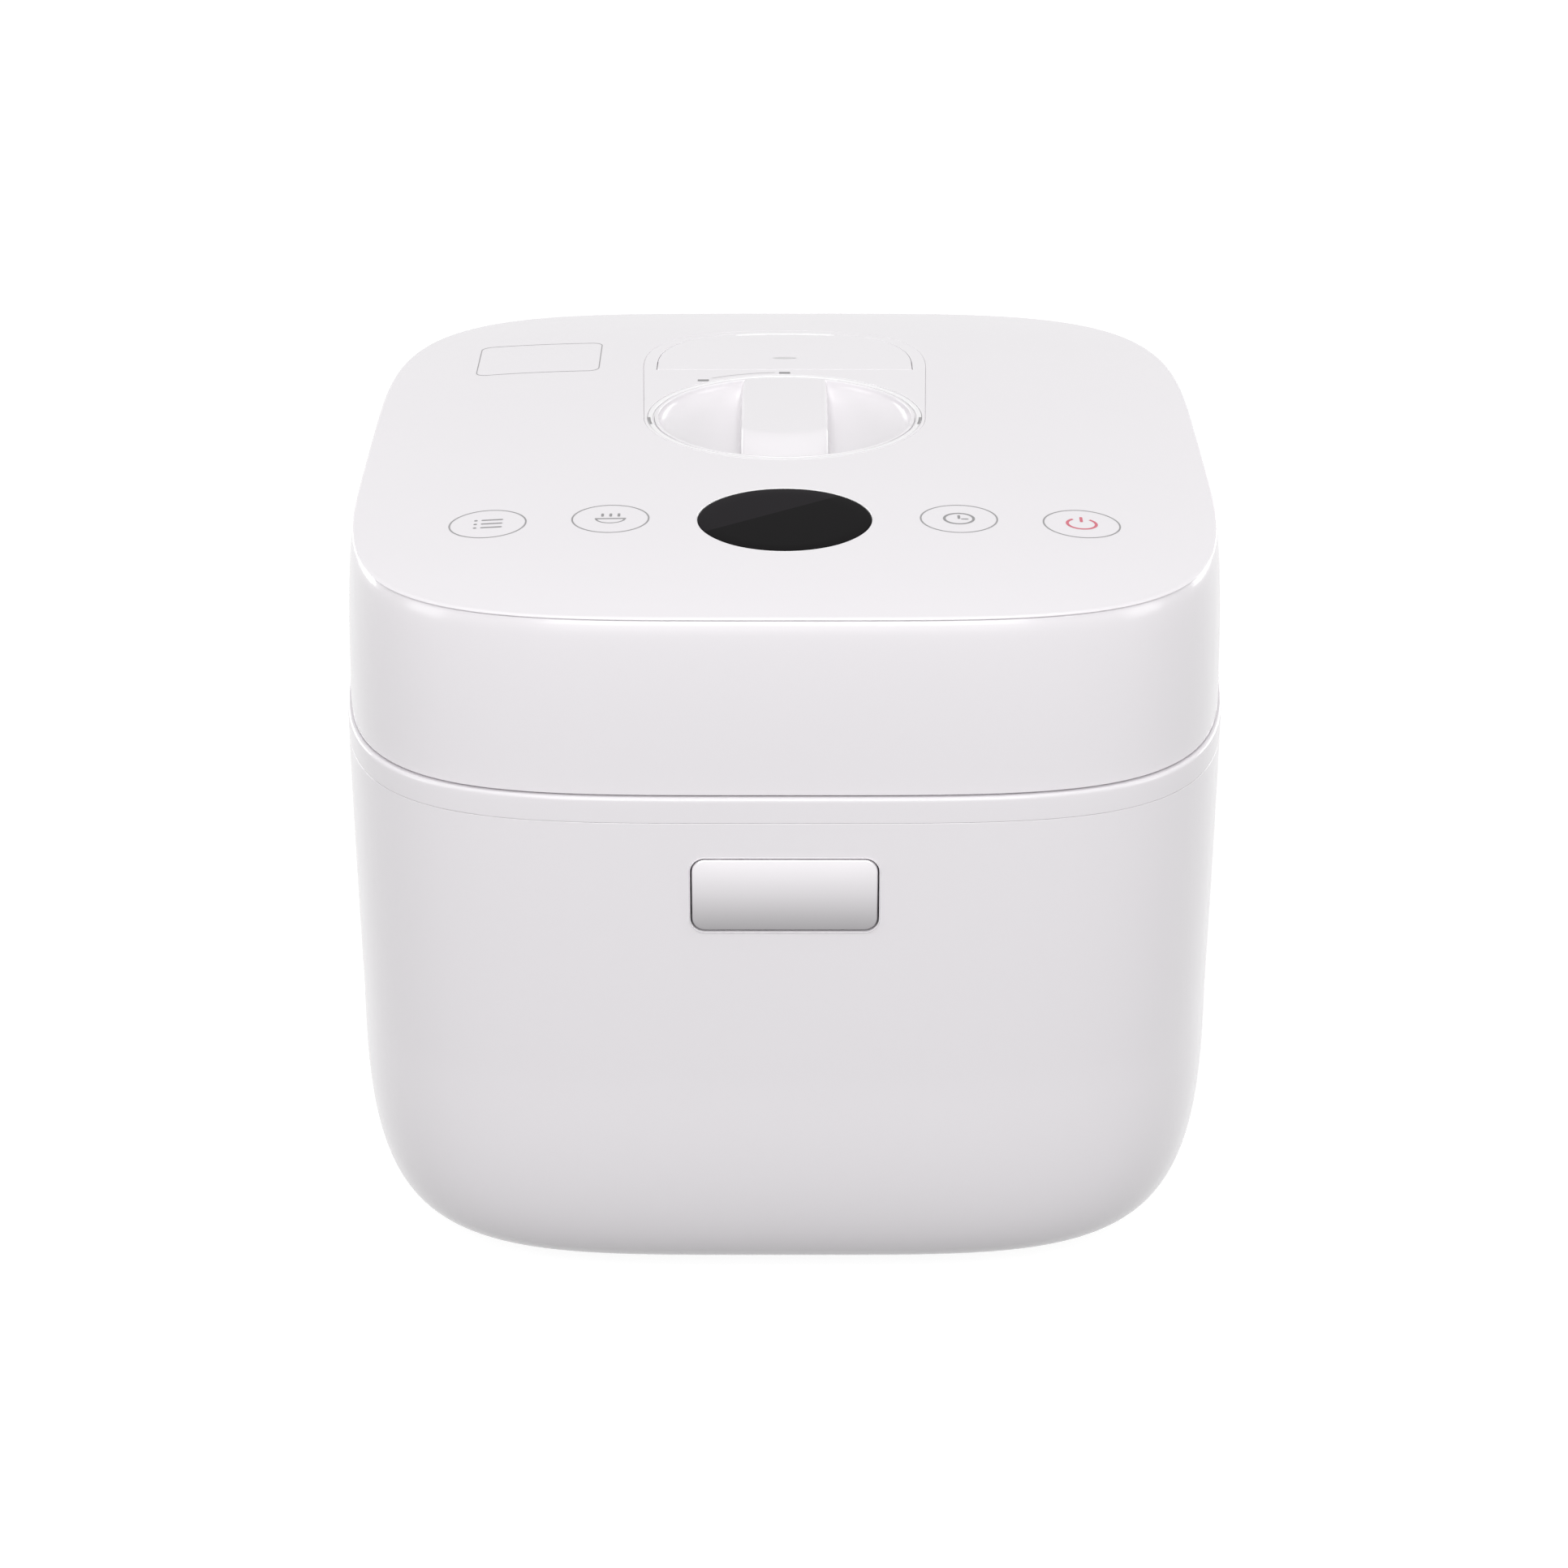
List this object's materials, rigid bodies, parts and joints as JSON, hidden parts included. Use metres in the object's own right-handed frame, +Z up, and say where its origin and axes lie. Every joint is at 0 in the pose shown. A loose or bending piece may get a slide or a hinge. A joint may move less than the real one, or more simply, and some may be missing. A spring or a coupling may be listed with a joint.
{
  "type": "rice cooker",
  "caption": "Rounded-cube rice cooker with a rear-hinged lid, rotary lid lock, round display, touch keys, front release button and steam valve.",
  "frame": {"origin": "on the table, under the centre of the cooker's bounding box", "axes": "+Z up, -Y towards the front with the release button, +X to the cooker's right as seen from the front; +Y is the longest extent"},
  "size_m": [0.2656, 0.3248, 0.2218],
  "materials": {
    "shell_white": "gloss",
    "inlay_white": "gloss",
    "knob_white": "gloss",
    "inner_white": "fine satin",
    "base_grey": "matte",
    "display_black": "mirror gloss",
    "button_silver": "satin silver paint",
    "bezel_silver": "satin",
    "pot_coating": "satin dark coating",
    "aluminium": "satin",
    "steel": "brushed",
    "spring_steel": "drawn wire",
    "copper": "enamelled wire",
    "ferrite": "matte",
    "black_plastic": "matte",
    "circuit_board": "solder mask",
    "board_parts": "mixed",
    "foot_rubber": "matte",
    "silicone": "translucent matte"
  },
  "bodies": {
    "base": {"outer_shell": "shell_white", "collar_ring": "shell_white", "pot_well": "aluminium", "coil_carrier": "inner_white", "induction_coil": "copper", "ferrite_bars": "ferrite", "sensor_housing": "inner_white", "base_plate": "base_grey", "feet": "foot_rubber", "base_screws": "steel", "fan_frame": "black_plastic", "power_board": "circuit_board", "board_parts": "board_parts", "board_screws": "steel", "inlet_housing": "black_plastic", "inlet_pins": "steel", "button_bezel": "bezel_silver", "latch_bracket": "steel", "latch_pin": "steel", "lock_keeper": "steel", "rear_housing": "shell_white", "hinge_pin": "steel", "hinge_springs": "spring_steel", "inner_pot": "pot_coating"},
    "release_button": {"release_button": "button_silver", "button_spring": "spring_steel"},
    "latch": {"latch_hook": "black_plastic"},
    "sensor": {"sensor_cap": "aluminium", "sensor_spring": "spring_steel"},
    "fan_wheel": {"fan_rotor": "black_plastic"},
    "dew_cup": {"dew_cup": "shell_white"},
    "lid": {"lid_shell": "shell_white", "top_panel": "shell_white", "display_window": "display_black", "display_module": "black_plastic", "touch_board": "circuit_board", "touch_springs": "spring_steel", "lid_liner": "inner_white", "lid_screws": "steel", "inner_lid": "aluminium", "seal_ring": "silicone", "latch_plate": "steel", "lid_hinge_arm": "steel", "knob_housing": "knob_white", "inlay_frame": "inlay_white", "valve_body": "inner_white"},
    "knob": {"rotary_knob": "knob_white", "knob_shaft": "steel", "knob_clip": "spring_steel"},
    "lock_bolt": {"lock_bolt": "steel"},
    "steam_cover": {"steam_cover": "inlay_white"},
    "pressure_weight": {"pressure_weight": "steel"},
    "float_pin": {"float_pin": "steel"}
  },
  "joints": [
    {"name": "lid_hinge", "type": "hinge", "parent": "base", "child": "lid", "pos_m": [0, 0.1524, 0.165], "axis": [-1, 0, 0], "range_deg": [0, 80]},
    {"name": "button_press", "type": "slide", "parent": "base", "child": "release_button", "axis": [0, 1, 0], "range_m": [0, 0.004], "stiffness_N_per_m": 500, "springref_m": -0.003, "deforming": ["button_spring"]},
    {"name": "latch_pivot", "type": "hinge", "parent": "base", "child": "latch", "pos_m": [0, -0.1406, 0.148], "axis": [1, 0, 0], "range_deg": [0, 17.83]},
    {"name": "sensor_plunge", "type": "slide", "parent": "base", "child": "sensor", "axis": [0, 0, -1], "range_m": [0, 0.003], "stiffness_N_per_m": 300, "springref_m": -0.004, "deforming": ["sensor_spring"]},
    {"name": "fan_spin", "type": "hinge", "parent": "base", "child": "fan_wheel", "pos_m": [-0.044, 0.0279, 0.0077], "axis": [0, 0, 1], "continuous": true},
    {"name": "dew_cup_pull", "type": "slide", "parent": "base", "child": "dew_cup", "axis": [0, 1, 0], "range_m": [0, 0.04]},
    {"name": "knob_turn", "type": "hinge", "parent": "lid", "child": "knob", "pos_m": [0, 0.0069, 0.2215], "axis": [0, 0, 1], "range_deg": [0, 35]},
    {"name": "bolt_slide", "type": "slide", "parent": "lid", "child": "lock_bolt", "axis": [0, -1, 0], "range_m": [0, 0.0081]},
    {"name": "steam_cover_lift", "type": "slide", "parent": "lid", "child": "steam_cover", "axis": [0, 0, 1], "range_m": [0, 0.04]},
    {"name": "weight_lift", "type": "slide", "parent": "lid", "child": "pressure_weight", "axis": [0, 0, 1], "range_m": [0, 0.003]},
    {"name": "float_rise", "type": "slide", "parent": "lid", "child": "float_pin", "axis": [0, 0, 1], "range_m": [0, 0.003]}
  ],
  "couplings": [
    {"joint": "latch_pivot", "follows": "button_press", "rad_per_m": 76.923},
    {"joint": "bolt_slide", "follows": "knob_turn", "m_per_rad": 0.013096}
  ]
}
